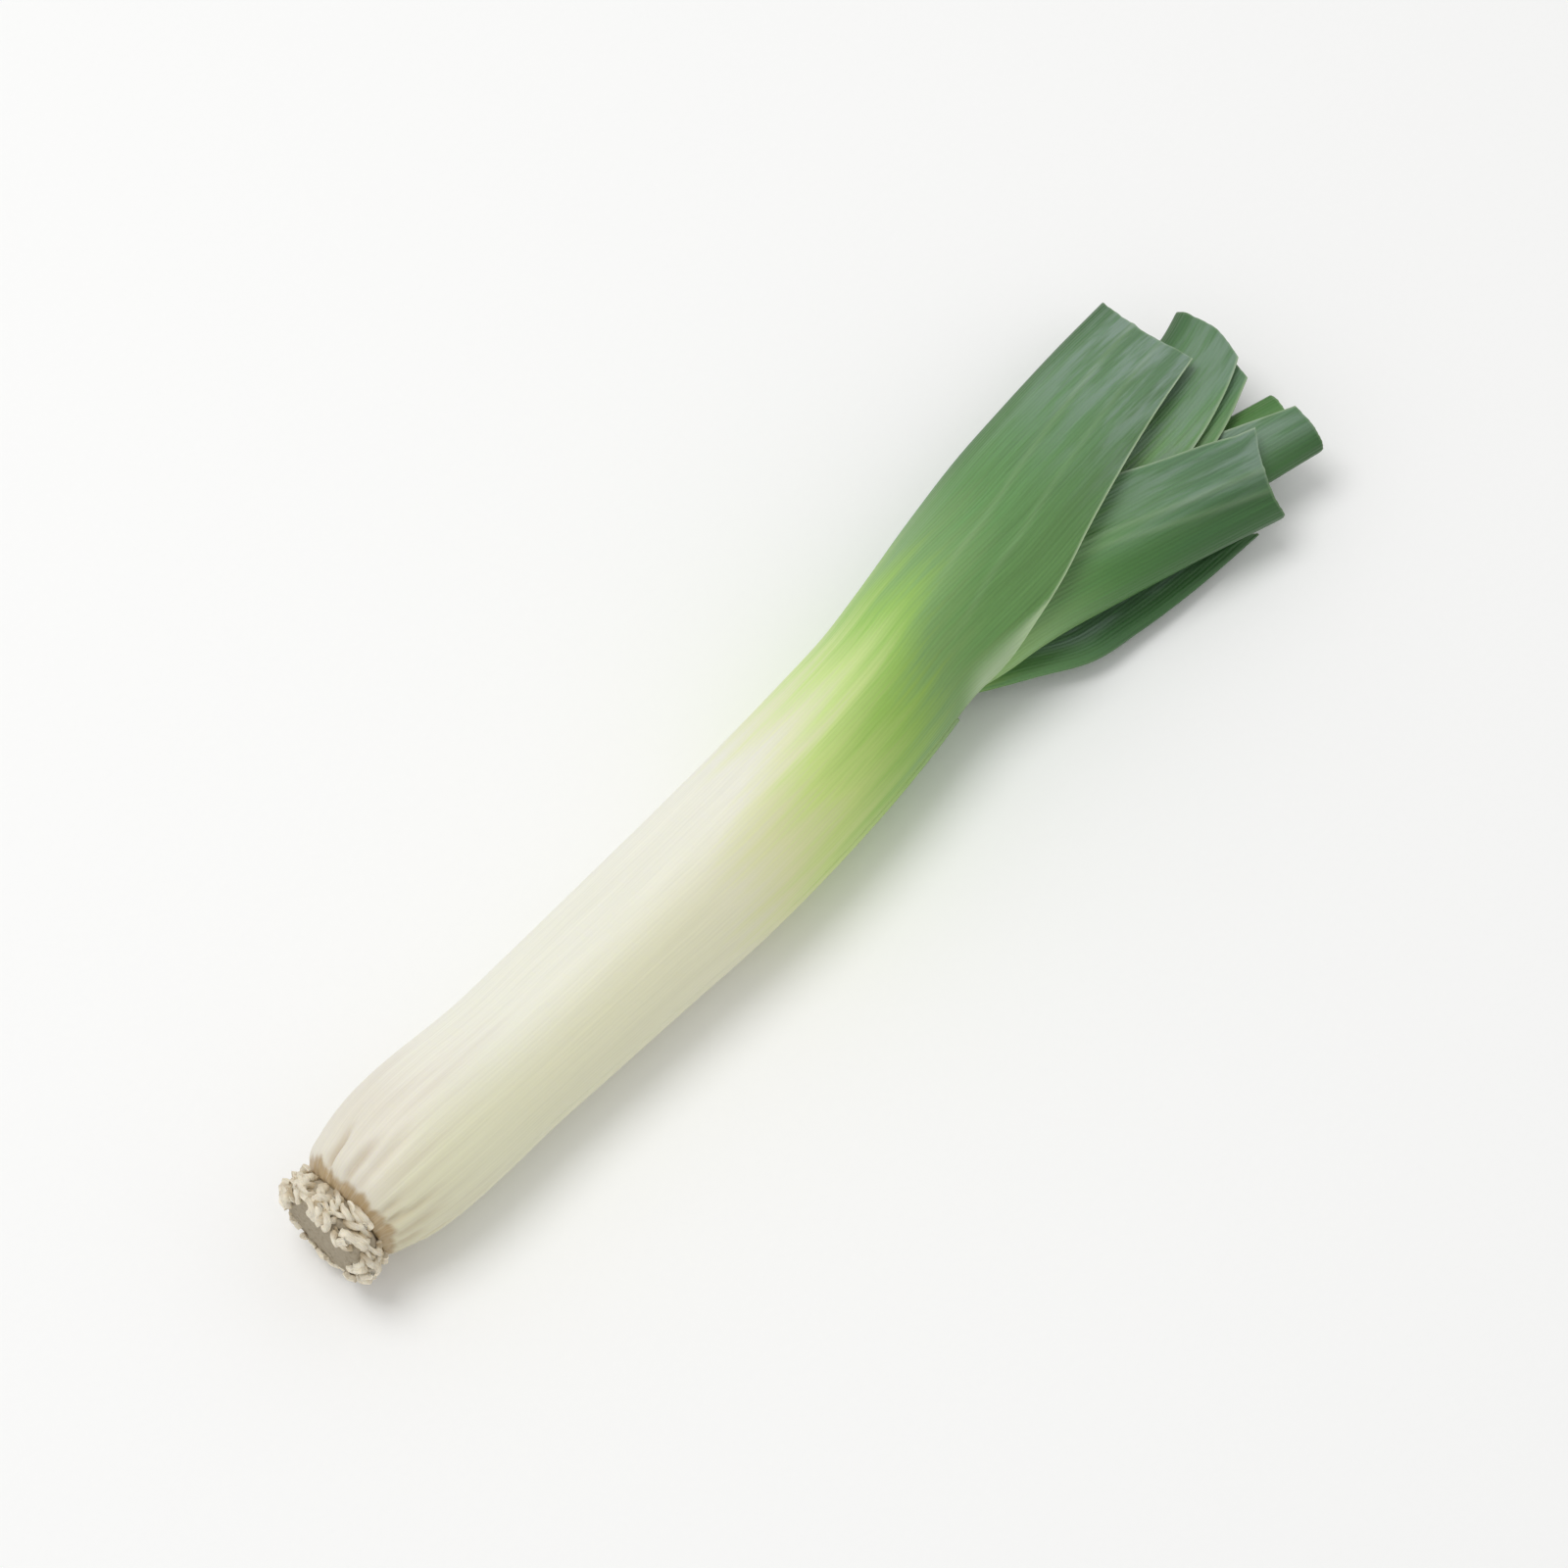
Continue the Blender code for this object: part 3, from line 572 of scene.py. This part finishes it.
def leaf_skin(leaf, settings):
    """Leek leaf, grown, with its wax on: fine parallel veins, green that runs down into the white in
    streaks, and a thin bloom that greys the blade in patches and dulls its shine."""
    material, node = new_material(f"Leek_skin_waxy_{leaf.node}")
    place = node("ShaderNodeAttribute", {"attribute_name": "leaf_place"}).outputs["Vector"]
    tone = node("ShaderNodeAttribute", {"attribute_name": "leaf_tone"}).outputs["Vector"]
    marks = node("ShaderNodeAttribute", {"attribute_name": "leaf_marks"}).outputs["Vector"]
    around = node("ShaderNodeAttribute", {"attribute_name": "leaf_side"}).outputs["Vector"]
    growth, rim, bloom_zone = node("ShaderNodeSeparateXYZ", inputs={0: tone}).outputs
    tan, pleat, cut = node("ShaderNodeSeparateXYZ", inputs={0: marks}).outputs
    angle, flank, inside = node("ShaderNodeSeparateXYZ", inputs={0: around}).outputs

    def streaks(long, wide, detail, shift):
        """Noise drawn out along the leaf: long and wide are the size of its features in millimetres."""
        scaled = node("ShaderNodeVectorMath", {"operation": "MULTIPLY_ADD"},
                      {0: place, 1: (1 / long, 1 / wide, 1 / wide), 2: (shift, 2 * shift, 5 * shift)})
        return node("ShaderNodeTexNoise", {"noise_dimensions": "3D"},
                    {"Vector": scaled.outputs[0], "Scale": 1.0, "Detail": detail, "Roughness": 0.55}
                    ).outputs["Fac"]

    def weighted(start, *terms):
        """start plus each term's value times its weight."""
        for value, weight in terms:
            start = node("ShaderNodeMath", {"operation": "MULTIPLY_ADD"},
                         {0: value, 1: weight, 2: start}).outputs[0]
        return start

    def swaying(start, *noises):
        """start plus weighted noises, less half of their weights, because a noise is 0.5 on average."""
        half = sum(weight for _, weight in noises) / 2
        return node("ShaderNodeMath", {"operation": "SUBTRACT"},
                    {0: weighted(start, *noises), 1: half}).outputs[0]

    seed = len(leaf.node) * 1.3
    broad = streaks(120, 9, 2, seed)
    middle = streaks(60, 2.6, 3, seed + 4)
    fine = streaks(26, 0.75, 3, seed + 9)
    patches = streaks(28, 3.2, 4, seed + 15)
    grain = streaks(0.9, 0.5, 2, seed + 21)

    # Where the green starts wanders from streak to streak.
    wander = swaying(growth, (broad, 30.0), (middle, 44.0), (fine, 24.0))
    ramp_place = node("ShaderNodeMath", {"operation": "DIVIDE"}, {0: wander, 1: LONGEST}).outputs[0]
    ramp = node("ShaderNodeValToRGB", inputs={0: ramp_place})
    stops = ramp.color_ramp.elements
    for number, (x, name) in enumerate(leaf.tones):
        stop = stops[number] if number < 2 else stops.new(1.0)
        stop.position = max(x, 0) / LONGEST
        stop.color = (*getattr(settings, name), 1)

    # The sheath varies less than the blade, bloom lies in patches, the dry stain creeps up from the foot
    # between the streaks, and a knife cut dries along its edge.
    swing, patch, creep, dry = (
        node("ShaderNodeMapRange", {"interpolation_type": "SMOOTHSTEP"},
             {"Value": value, "From Min": low, "From Max": high, "To Min": at_low, "To Max": at_high}
             ).outputs[0]
        for value, low, high, at_low, at_high in (
            (growth, 130.0, 240.0, 0.22, 1.0),
            (patches, 0.4, 0.62, 0.25, 1.15),
            (wander, -16.0, 16.0, 0.12, 0.0),
            (cut, 0.1, 0.8, 0.12, 0.0),
        )
    )

    # Veins: lighter lines at their spacing, uneven in strength.
    count = round(2 * pi * RING * MM / settings.vein_spacing)
    bent = weighted(0.0, (angle, float(count)), (broad, 9.0))
    wave = node("ShaderNodeMath", {"operation": "SINE"}, {0: bent}).outputs[0]
    veins = weighted(0.0, (wave, middle))
    lightness = weighted(0.0, (veins, 0.10))
    lightness = swaying(lightness, (middle, 0.55), (fine, 0.6), (grain, 0.10), (broad, 0.22))
    swung = weighted(1.0, (lightness, swing))
    skin = node("ShaderNodeVectorMath", {"operation": "SCALE"},
                {0: ramp.outputs["Color"], "Scale": swung}).outputs[0]

    # Little bloom grows on a leaf's inner face. The flanks and the strip along the keel are darkened as
    # painted shade. The margins are paler in a thin strip, which below the outer leaf's throat widens into a
    # painted sheen, and the tops of the pleats are painted paler as a highlight.
    keel = node("ShaderNodeAttribute", {"attribute_name": "leaf_keel"}).outputs["Fac"]
    flank = weighted(0.0, (flank, 0.9))
    bloom = weighted(0.0, (patch, bloom_zone))
    bloom = weighted(0.0, (bloom, weighted(1.0, (inside, -0.7))))
    bloom = weighted(0.0, (bloom, leaf.bloom))
    # The tops of the pleats are painted paler, a painted highlight.
    raised = node("ShaderNodeMath", {"operation": "MULTIPLY", "use_clamp": True}, {0: pleat, 1: 0.6})
    pale = node("ShaderNodeMath", {"operation": "MAXIMUM", "use_clamp": True}, {0: rim, 1: raised.outputs[0]})
    pale = weighted(0.0, (pale.outputs[0], 0.5 if leaf.tube else 0.36))
    # The tan attribute browns the dry collar and the puckers, whose brown is partly painted shade in their
    # grooves.
    dried = node("ShaderNodeMath", {"operation": "MULTIPLY_ADD", "use_clamp": True},
                 {0: fine, 1: tan, 2: weighted(0.0, (tan, 0.45))})
    stain_and_groove_shade = node("ShaderNodeMath", {"operation": "MAXIMUM"}, {0: creep, 1: dried.outputs[0]}).outputs[0]
    layers = (
        # painted shade on the flanks
        (flank, "MULTIPLY", settings.flank),
        # painted shade along the keel
        (keel, "MULTIPLY", settings.keel),
        (bloom, "MIX", settings.bloom),
        # thin pale margins, the painted sheen below the outer leaf's throat, and the painted highlight on the
        # pleats
        (pale, "MIX", settings.rim),
        (stain_and_groove_shade, "MIX", settings.tan),
        (dry, "MIX", settings.rim),
    )
    for amount, blend, tint in layers:
        skin = node("ShaderNodeMix", {"data_type": "RGBA", "blend_type": blend},
                    {"Factor": amount, "A": skin, "B": (*tint, 1)}).outputs["Result"]

    # Wax dulls the shine, and the veins and streaks stand out less on the sheath.
    roughness = weighted(0.30, (bloom, 0.3), (fine, 0.22))
    relief = weighted(0.0, (veins, 1.0), (fine, 1.6))
    relief = weighted(0.0, (relief, swing), (middle, 2.2), (grain, 0.3))
    bump = node("ShaderNodeBump", inputs={"Height": relief, "Distance": settings.vein_height})
    finish_material(node, {
        "Base Color": skin, "Roughness": roughness, "IOR": 1.42, "Normal": bump.outputs[0],
        "Subsurface Weight": 0.2 if leaf.tube else 0.08, "Subsurface Radius": (0.9, 1.0, 0.5),
        "Subsurface Scale": 1.2 * MM,
    })
    return material


def cut_leaf(settings):
    """Leek leaf, cut with a knife: pale wet flesh with the cut veins as a row of dots."""
    found = bpy.data.materials.get("Leek_flesh_knife_cut")
    if found:
        return found
    material, node = new_material("Leek_flesh_knife_cut")
    place = node("ShaderNodeAttribute", {"attribute_name": "leaf_place"}).outputs["Vector"]
    scaled = node("ShaderNodeVectorMath", {"operation": "MULTIPLY"}, {0: place, 1: (0.0, 1.4, 1.4)})
    dots = node("ShaderNodeTexNoise", inputs={"Vector": scaled.outputs[0], "Scale": 1.0, "Detail": 2.0})
    flesh = node("ShaderNodeMix", {"data_type": "RGBA"},
                 {"Factor": dots.outputs["Fac"], "A": (*settings.dark, 1), "B": (*settings.bright, 1)})
    bump = node("ShaderNodeBump", inputs={"Height": dots.outputs["Fac"], "Distance": 0.1 * MM})
    finish_material(node, {
        "Base Color": flesh.outputs["Result"], "Roughness": 0.42, "IOR": 1.36, "Normal": bump.outputs[0],
        "Subsurface Weight": 0.1, "Subsurface Radius": (0.8, 1.0, 0.4), "Subsurface Scale": 0.6 * MM,
    })
    return material


def dried_root(settings):
    """Leek root, dried in air and trimmed: papery beige skin with lengthwise wrinkles, darker where soil
    and shade sit between the stubs."""
    material, node = new_material("Root_skin_air_dried")
    place = node("ShaderNodeAttribute", {"attribute_name": "root_place"}).outputs["Vector"]
    along = node("ShaderNodeSeparateXYZ", inputs={0: place}).outputs[0]
    stretched = node("ShaderNodeVectorMath", {"operation": "MULTIPLY"}, {0: place, 1: (0.5, 2.2, 7.3)})
    wrinkles = node("ShaderNodeTexNoise",
                    inputs={"Vector": stretched.outputs[0], "Scale": 1.0, "Detail": 4.0, "Roughness": 0.6})
    blotched = node("ShaderNodeVectorMath", {"operation": "MULTIPLY"}, {0: place, 1: (0.25, 0.3, 3.1)})
    blotches = node("ShaderNodeTexNoise", inputs={"Vector": blotched.outputs[0], "Scale": 1.0, "Detail": 2.0})
    base = node("ShaderNodeMapRange", {"interpolation_type": "SMOOTHSTEP"},
                {"Value": along, "From Min": 0.0, "From Max": 3.5, "To Min": 0.8, "To Max": 0.05})
    blotch = node("ShaderNodeMapRange", {"interpolation_type": "SMOOTHSTEP"},
                  {"Value": blotches.outputs["Fac"], "From Min": 0.55, "From Max": 0.8, "To Max": 0.4})
    dark = node("ShaderNodeMath", {"operation": "MAXIMUM"}, {0: base.outputs[0], 1: blotch.outputs[0]})
    mixed = node("ShaderNodeMix", {"data_type": "RGBA"},
                 {"Factor": dark.outputs[0], "A": (*settings.fibre, 1), "B": (*settings.shade, 1)})
    lines = node("ShaderNodeMapRange",
                 inputs={"Value": wrinkles.outputs["Fac"], "From Min": 0.25, "From Max": 0.75, "To Min": 0.8,
                         "To Max": 1.2})
    skin = node("ShaderNodeVectorMath", {"operation": "SCALE"},
                {0: mixed.outputs["Result"], "Scale": lines.outputs[0]})
    bump = node("ShaderNodeBump", inputs={"Height": wrinkles.outputs["Fac"], "Distance": 0.35 * MM})
    rough = node("ShaderNodeMapRange",
                 inputs={"Value": wrinkles.outputs["Fac"], "To Min": 0.95, "To Max": 0.65})
    finish_material(node, {
        "Base Color": skin.outputs[0], "Roughness": rough.outputs[0], "IOR": 1.45, "Normal": bump.outputs[0],
        "Subsurface Weight": 0.1, "Subsurface Radius": (1.0, 0.7, 0.4), "Subsurface Scale": 1.0 * MM,
    })
    return material


def cut_stub(settings):
    """Leek root, cut through: a dull end mottled between the root's skin colour and the grey of the cut face.
    """
    material, node = new_material("Root_end_knife_cut")
    where = node("ShaderNodeTexCoord").outputs["Object"]
    mottle = node("ShaderNodeTexNoise", inputs={"Vector": where, "Scale": 1500.0, "Detail": 3.0})
    mixed = node("ShaderNodeMix", {"data_type": "RGBA"},
                 {"Factor": mottle.outputs["Fac"], "A": (*settings.fibre, 1), "B": (*settings.face, 1)})
    bump = node("ShaderNodeBump", inputs={"Height": mottle.outputs["Fac"], "Distance": 0.2 * MM})
    finish_material(node, {
        "Base Color": mixed.outputs["Result"], "Roughness": 0.9, "IOR": 1.45, "Normal": bump.outputs[0]})
    return material


def cut_plate(settings):
    """Leek root plate, cut with a knife and dried: greyed corky flesh with faint rings and darker dots
    where the roots ran through it."""
    material, node = new_material("Root_plate_knife_cut")
    place = node("ShaderNodeAttribute", {"attribute_name": "plate_place"}).outputs["Vector"]
    radius = node("ShaderNodeSeparateXYZ", inputs={0: place}).outputs[0]
    where = node("ShaderNodeTexCoord").outputs["Object"]
    mottle = node("ShaderNodeTexNoise", inputs={"Vector": where, "Scale": 900.0, "Detail": 5.0})
    cells = node("ShaderNodeTexVoronoi", inputs={"Vector": where, "Scale": 620.0})
    bent = node("ShaderNodeMath", {"operation": "MULTIPLY_ADD"},
                {0: mottle.outputs["Fac"], 1: 3.0, 2: radius})
    turns = node("ShaderNodeMath", {"operation": "MULTIPLY"}, {0: bent.outputs[0], 1: 3.4})
    rings = node("ShaderNodeMath", {"operation": "SINE"}, {0: turns.outputs[0]})
    ring_tone = node("ShaderNodeMapRange", inputs={
        "Value": rings.outputs[0], "From Min": -1.0, "To Min": 0.35, "To Max": 0.65})
    dots = node("ShaderNodeMapRange", {"interpolation_type": "SMOOTHSTEP"},
                {"Value": cells.outputs["Distance"], "From Min": 0.1, "From Max": 0.5, "To Min": 0.5,
                 "To Max": 0.0})
    amount = node("ShaderNodeMath", {"operation": "MULTIPLY_ADD"},
                  {0: mottle.outputs["Fac"], 1: 0.6, 2: dots.outputs[0]})
    amount = node("ShaderNodeMath", {"operation": "MULTIPLY", "use_clamp": True},
                  {0: amount.outputs[0], 1: ring_tone.outputs[0]})
    mixed = node("ShaderNodeMix", {"data_type": "RGBA"},
                 {"Factor": amount.outputs[0], "A": (*settings.face, 1), "B": (*settings.core, 1)})
    bump = node("ShaderNodeBump", inputs={"Height": mottle.outputs["Fac"], "Distance": 0.6 * MM})
    finish_material(node, {
        "Base Color": mixed.outputs["Result"], "Roughness": 0.85, "IOR": 1.45, "Normal": bump.outputs[0]})
    return material


def paper_floor(settings):
    """White paper, uncoated and matt: an even pale surface with a faint fibre grain. Real fibres are too
    fine to show, so the grain is drawn 2 mm wide."""
    material, node = new_material("Paper_white_uncoated")
    where = node("ShaderNodeTexCoord").outputs["Object"]
    grain = node("ShaderNodeTexNoise", inputs={"Vector": where, "Scale": 500.0, "Detail": 4.0})
    tone = node("ShaderNodeMapRange", inputs={"Value": grain.outputs["Fac"], "To Min": 0.985, "To Max": 1.0})
    sheet = node("ShaderNodeVectorMath", {"operation": "SCALE"},
                 {0: tuple(settings.floor), "Scale": tone.outputs[0]})
    bump = node("ShaderNodeBump", inputs={"Height": grain.outputs["Fac"], "Distance": 0.02 * MM})
    finish_material(node, {
        "Base Color": sheet.outputs[0], "Roughness": 0.9, "Normal": bump.outputs[0]})
    return material


def root_centre():
    """Where the plate's axis meets the shank's foot, in the tables' millimetres: (x, y, z)."""
    low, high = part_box("root_plate")
    middle = (low + high) / 2 - ORIGIN
    return np.array([high.x - ORIGIN.x, middle.y, middle.z]) / MM


def make_plate(settings):
    """The plate as a turned form, its rim lumpy and its cut face faintly ringed."""
    foot, y, z = root_centre()
    radius, deep = settings.plate_radius / MM, settings.plate_depth / MM
    rim = [(0.90, 0.25), (0.955, 0.6), (0.98, 1.4), (1.0, 2.6), (1.005, 4.0), (1.0, 5.6), (0.985, 6.8),
           (0.97, 7.4), (0.94, 7.9)]
    profile = [(0.0, 0.0), (0.45, 0.0), (0.88, 0.0)] + [(r, d * deep / 8.2) for r, d in rim]
    profile += [(0.92 * (1 - i / 26), deep) for i in range(26)] + [(0.0, deep)]
    turn = np.arange(120) * 2 * pi / 120
    share = np.array([p[0] for p in profile])[:, None]
    depth = np.array([p[1] for p in profile])[:, None] + 0 * turn
    lump = 0.35 * np.sin(5 * turn + 1) + 0.3 * np.sin(11 * turn + depth)
    lump = lump + 0.25 * np.sin(23 * turn - 2 * depth)
    side = smoothstep(0.7, 0.95, share) * smoothstep(0.1, 1.2, depth)
    r = share * radius + lump * side
    ridges = 0.12 * np.sin(3.1 * r + 0.8 * np.sin(2 * turn)) + 0.1 * np.sin(1.7 * r * np.cos(turn) + 4)
    deeper = depth + np.where(depth > 0.97 * deep, ridges - 0.25 * smoothstep(0, 1, share), 0)
    points = np.stack([foot - deeper, y + r * np.cos(turn), z + r * np.sin(turn)], -1)
    ids = np.arange(points.shape[0] * points.shape[1]).reshape(points.shape[:2])
    ids = np.concatenate([ids, ids[:, :1]], 1)
    ids[0, :] = ids[0, 0]
    ids[-1, :] = ids[-1, 0]
    faces = [[a for i, a in enumerate(face) if a not in face[:i]] for face in grid_faces(ids)]
    place = np.stack([r, turn + 0 * r, depth + 0 * r], -1).reshape(-1, 3)
    return add_mesh("leek_root_plate", placed(points.reshape(-1, 3)), [(faces, cut_plate(settings))],
                    {"plate_place": place})


def stub_route(number, centre, settings, random):
    """Points of one root stub: it leaves the plate's side, then curls along it, and is trimmed short. The
    stubs nearest the cut face hang over its rim."""
    foot, y, z = centre
    radius, deep = settings.plate_radius / MM, settings.plate_depth / MM
    turn = 2 * pi * (number + random.uniform(-0.5, 0.5)) / settings.root_count
    start = deep * (0.08 + 0.22 * (number % 4)) + random.uniform(-0.5, 0.5)
    length = random.uniform(4.5, 9)
    way = np.linspace(0, 1, 12)
    heading = random.uniform(-1.6, 1.6) + random.uniform(-2.4, 2.4) * way
    step = length / len(way)
    gone = np.cumsum(np.cos(heading)) * step
    room = np.maximum(np.where(gone >= 0, deep + 1.5 - start, start - 0.2), 0.3)
    away = start + np.sign(gone) * room * (1 - np.exp(-np.abs(gone) / room))
    angle = turn + np.cumsum(np.sin(heading)) * step / radius
    reach = settings.root_reach / MM * random.uniform(0.3, 1)
    out = radius - 0.6 + reach * np.sin(0.8 * pi * way ** 0.7) + 0.3 * np.sin(9 * way + number)
    out = out - 3.4 * smoothstep(deep - 1.5, deep + 1.5, away)
    return np.stack([foot - away, y + out * np.cos(angle), z + out * np.sin(angle)], -1)


def make_stubs(settings):
    """All the root stubs as tapering flattened tubes with lumps, in one mesh."""
    centre = root_centre()
    random = np.random.default_rng(5)
    sides = 10
    turn = np.arange(sides) * 2 * pi / sides
    all_points, all_places, skin, tips = [], [], [], []
    for number in range(settings.root_count):
        route = stub_route(number, centre, settings, random)
        heading = np.gradient(route, axis=0)
        heading /= np.linalg.norm(heading, axis=1)[:, None]
        length = np.concatenate([[0], np.cumsum(np.linalg.norm(np.diff(route, axis=0), axis=1))])
        side = np.cross(heading, (1.0, 0.0, 0.0))
        side /= np.linalg.norm(side, axis=1)[:, None]
        other = np.cross(heading, side)
        t = length / length[-1]
        thick = settings.root_radius / MM * random.uniform(0.7, 1.3) * (1.05 - 0.3 * t)
        flat = random.uniform(0.5, 0.9)
        twist = random.uniform(-1.5, 1.5) * t[:, None] + turn[None, :]
        lump = 1 + 0.10 * np.sin(3 * turn[None, :] + 9 * t[:, None] + number)
        lump = lump + 0.07 * np.sin(17 * t + number)[:, None]
        ring = side[:, None] * (np.cos(twist) * lump)[..., None]
        ring = ring + other[:, None] * (flat * np.sin(twist) * lump)[..., None]
        points = route[:, None] + ring * thick[:, None, None]
        first = sum(len(part) for part in all_points)
        ids = first + np.arange(points.shape[0] * sides).reshape(-1, sides)
        ids = np.concatenate([ids, ids[:, :1]], 1)
        skin += grid_faces(ids)
        tips += [ids[0][:-1].tolist(), ids[-1][:-1].tolist()]
        all_points.append(points.reshape(-1, 3))
        place = np.broadcast_arrays(length[:, None], 3 * np.sin(turn)[None, :], np.float64(number))
        all_places.append(np.stack(place, -1).reshape(-1, 3))
    return add_mesh("leek_root_stubs", placed(np.concatenate(all_points)),
                    [(skin, dried_root(settings)), (tips, cut_stub(settings))],
                    {"root_place": np.concatenate(all_places)})


class LEEK_OT_stage(bpy.types.Operator):
    """Lays the pale floor and sets the soft light and the camera"""

    bl_idname = "leek.stage"
    bl_label = "Stage"

    def execute(self, context):
        settings = context.scene.leek_stage
        half = settings.floor_size / 2
        mesh = bpy.data.meshes.new("floor")
        corners = [(-half, -half, 0), (half, -half, 0), (half, half, 0), (-half, half, 0)]
        mesh.from_pydata(corners, [], [(0, 1, 2, 3)])
        mesh.materials.append(paper_floor(settings))
        floor = bpy.data.objects.new("floor", mesh)
        context.scene.collection.objects.link(floor)
        lamps = [("key", (-0.3, 0.55, 1.9), 1.1, settings.key_power),
                 ("fill", (0.9, -1.3, 1.1), 1.6, settings.fill_power)]
        for name, spot, size, power in lamps:
            light = bpy.data.lights.new(name, "AREA")
            light.shape = "DISK"
            light.size = size
            light.energy = power
            lamp = bpy.data.objects.new(name, light)
            lamp.location = spot
            lamp.rotation_euler = Vector(spot).to_track_quat("Z", "Y").to_euler()
            context.scene.collection.objects.link(lamp)
        world = bpy.data.worlds.new("soft_sky")
        world.use_nodes = True
        background = world.node_tree.nodes["Background"]
        background.inputs["Color"].default_value = (1.0, 1.0, 1.0, 1.0)
        background.inputs["Strength"].default_value = settings.sky_strength
        context.scene.world = world
        context.scene.view_settings.view_transform = "Standard"
        self.add_camera(context, settings)
        return {"FINISHED"}

    def add_camera(self, context, settings):
        low, high = CAD_BOX
        target = (low + high) / 2 + Vector(settings.aim)
        level = cos(settings.elevation)
        back = Vector((sin(settings.azimuth) * level, -cos(settings.azimuth) * level,
                       sin(settings.elevation)))
        data = bpy.data.cameras.new("camera")
        data.sensor_width = 36
        data.lens = settings.lens
        camera = bpy.data.objects.new("camera", data)
        camera.location = target + back * settings.distance
        camera.rotation_euler = back.to_track_quat("Z", "Y").to_euler()
        context.scene.collection.objects.link(camera)
        context.scene.camera = camera


class LEEK_OT_outer_leaf(bpy.types.Operator):
    """Makes the shank with the outermost leaf, which is one skin from the roots to the cut end"""

    bl_idname = "leek.outer_leaf"
    bl_label = "Shank and outer leaf"

    def execute(self, context):
        settings = context.scene.leek_leaf
        size = settings.face_size / MM
        # Rows stand closest round the puckers at the foot and where the tube opens.
        foot = np.arange(FOOT, PUCKERS_END, 0.55)
        shank = np.arange(foot[-1] + 1.2 * size, CUP_FLOOR - size, 1.4 * size)
        throat = np.concatenate([[CUP_FLOOR], np.linspace(CUP_FLOOR + 1, THROAT, 4)])
        opening = np.arange(THROAT + 0.8, BLADE_START, 0.8)
        end = OUTER.cut[len(OUTER.cut) // 2][1]
        blade = np.linspace(BLADE_START, end, round((end - BLADE_START) / size))[1:]
        rows = np.concatenate([foot, shank, throat, opening, blade])
        floor = len(foot) + len(shank)
        leaf_object(OUTER, rows, OUTER_COLUMNS, floor + len(throat) - 1, floor, True, settings)
        return {"FINISHED"}


class LEEK_OT_blades(bpy.types.Operator):
    """Makes the folded leaves that fan out of the throat"""

    bl_idname = "leek.blades"
    bl_label = "Folded leaves"

    def execute(self, context):
        settings = context.scene.leek_leaf
        size = settings.face_size / MM
        for leaf in BLADES:
            end = leaf.cut[len(leaf.cut) // 2][1]
            rows = np.linspace(leaf.start, end, round((end - leaf.start) / size))
            widest = max(row[1] for row in leaf.up + leaf.down)
            leaf_object(leaf, rows, max(12, round(widest / size * 1.6)), -1, 0, False, settings)
        return {"FINISHED"}


class LEEK_OT_plate(bpy.types.Operator):
    """Makes the cut root plate"""

    bl_idname = "leek.plate"
    bl_label = "Root plate"

    def execute(self, context):
        finish_piece(make_plate(context.scene.leek_root), "root_plate")
        return {"FINISHED"}


class LEEK_OT_stubs(bpy.types.Operator):
    """Makes the trimmed root stubs round the plate"""

    bl_idname = "leek.stubs"
    bl_label = "Root stubs"

    def execute(self, context):
        finish_piece(make_stubs(context.scene.leek_root), "root_plate")
        return {"FINISHED"}


class LEEK_PT_panel(bpy.types.Panel):
    """Lists the leek's pieces and its stage"""

    bl_idname = "LEEK_PT_panel"
    bl_label = "Leek"
    bl_space_type = "VIEW_3D"
    bl_region_type = "UI"
    bl_category = "Leek"

    def draw(self, context):
        layout = self.layout
        for operator in OPERATORS:
            layout.operator(operator.bl_idname)
        for group in (context.scene.leek_leaf, context.scene.leek_root, context.scene.leek_stage):
            box = layout.box()
            for name in group.__annotations__:
                box.prop(group, name)


OPERATORS = (LEEK_OT_stage, LEEK_OT_outer_leaf, LEEK_OT_blades, LEEK_OT_plate, LEEK_OT_stubs)
SETTINGS = {"leek_leaf": LeekLeafSettings, "leek_root": LeekRootSettings, "leek_stage": LeekStageSettings}


def register():
    for made in (*SETTINGS.values(), *OPERATORS, LEEK_PT_panel):
        bpy.utils.register_class(made)
    for name, group in SETTINGS.items():
        setattr(bpy.types.Scene, name, bpy.props.PointerProperty(type=group))


def unregister():
    for name in SETTINGS:
        delattr(bpy.types.Scene, name)
    for made in (LEEK_PT_panel, *OPERATORS, *SETTINGS.values()):
        bpy.utils.unregister_class(made)


def main():
    register()
    bpy.ops.leek.stage()
    bpy.ops.leek.outer_leaf()
    bpy.ops.leek.blades()
    bpy.ops.leek.plate()
    bpy.ops.leek.stubs()


if __name__ == "__main__":
    main()
